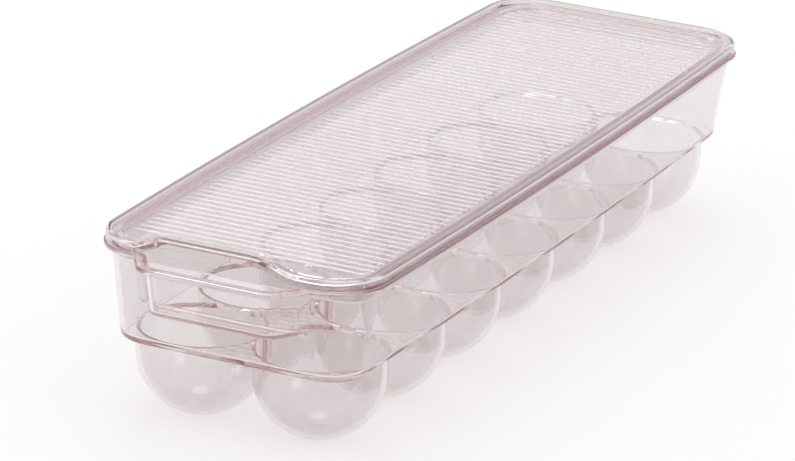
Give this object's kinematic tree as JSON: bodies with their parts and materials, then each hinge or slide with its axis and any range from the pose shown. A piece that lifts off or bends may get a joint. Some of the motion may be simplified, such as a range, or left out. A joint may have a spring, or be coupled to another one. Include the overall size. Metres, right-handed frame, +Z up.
{
  "type": "egg holder tray",
  "caption": "Clear covered egg tray: drafted walls with a bulging front pull handle, round-bottomed cups in two columns and a ribbed lid that lifts off",
  "frame": {"origin": "middle of the part's box on the surface it stands on, under the cups", "axes": "+X across to the right seen from the handle end, +Y along the tray away from the handle, +Z up"},
  "size_m": [0.111, 0.3692, 0.0694],
  "materials": {
    "tray_clear": "polished clear moulding",
    "lid_clear": "polished clear moulding, ribbed panel"
  },
  "bodies": {
    "tray": {"tray_wall": "tray_clear", "cup_row_1": "tray_clear", "cup_row_2": "tray_clear", "cup_row_3": "tray_clear", "cup_row_4": "tray_clear", "cup_row_5": "tray_clear", "cup_row_6": "tray_clear", "cup_row_7": "tray_clear"},
    "lid": {"lid_rim": "lid_clear", "lid_panel": "lid_clear"}
  },
  "joints": [
    {"name": "lid_lift", "type": "slide", "parent": "tray", "child": "lid", "axis": [0, 0, 1], "range_m": [0, 0.1]}
  ]
}
